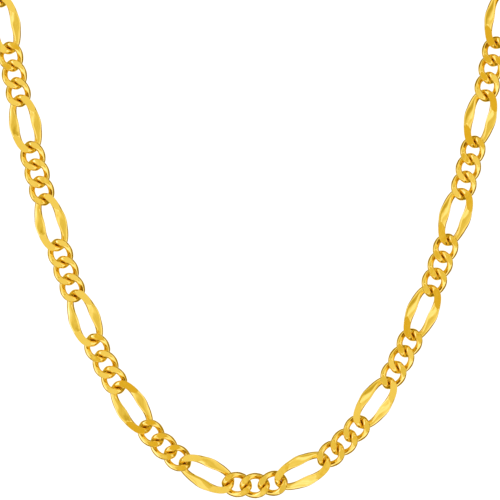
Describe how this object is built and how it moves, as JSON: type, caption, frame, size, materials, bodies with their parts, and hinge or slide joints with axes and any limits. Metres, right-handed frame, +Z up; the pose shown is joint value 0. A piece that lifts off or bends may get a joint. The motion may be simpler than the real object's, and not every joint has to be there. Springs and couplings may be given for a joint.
{
  "type": "figaro chain necklace",
  "caption": "Closed figaro neck chain of ground curb links: short links in rows between long ones, hanging open as round a neck, with a plain clasp behind.",
  "frame": {"origin": "on the clasp's inner face, where the chain hangs on the nape of the neck", "axes": "+X to the wearer's left, -Y the way the wearer faces, +Z up"},
  "size_m": [0.1156, 0.1013, 0.1686],
  "materials": {
    "polished_gold": "polished"
  },
  "bodies": {
    "root": {"chain_left": "polished_gold", "chain_right": "polished_gold", "end_ring_left": "polished_gold", "end_ring_right": "polished_gold", "clasp": "polished_gold"}
  },
  "joints": []
}
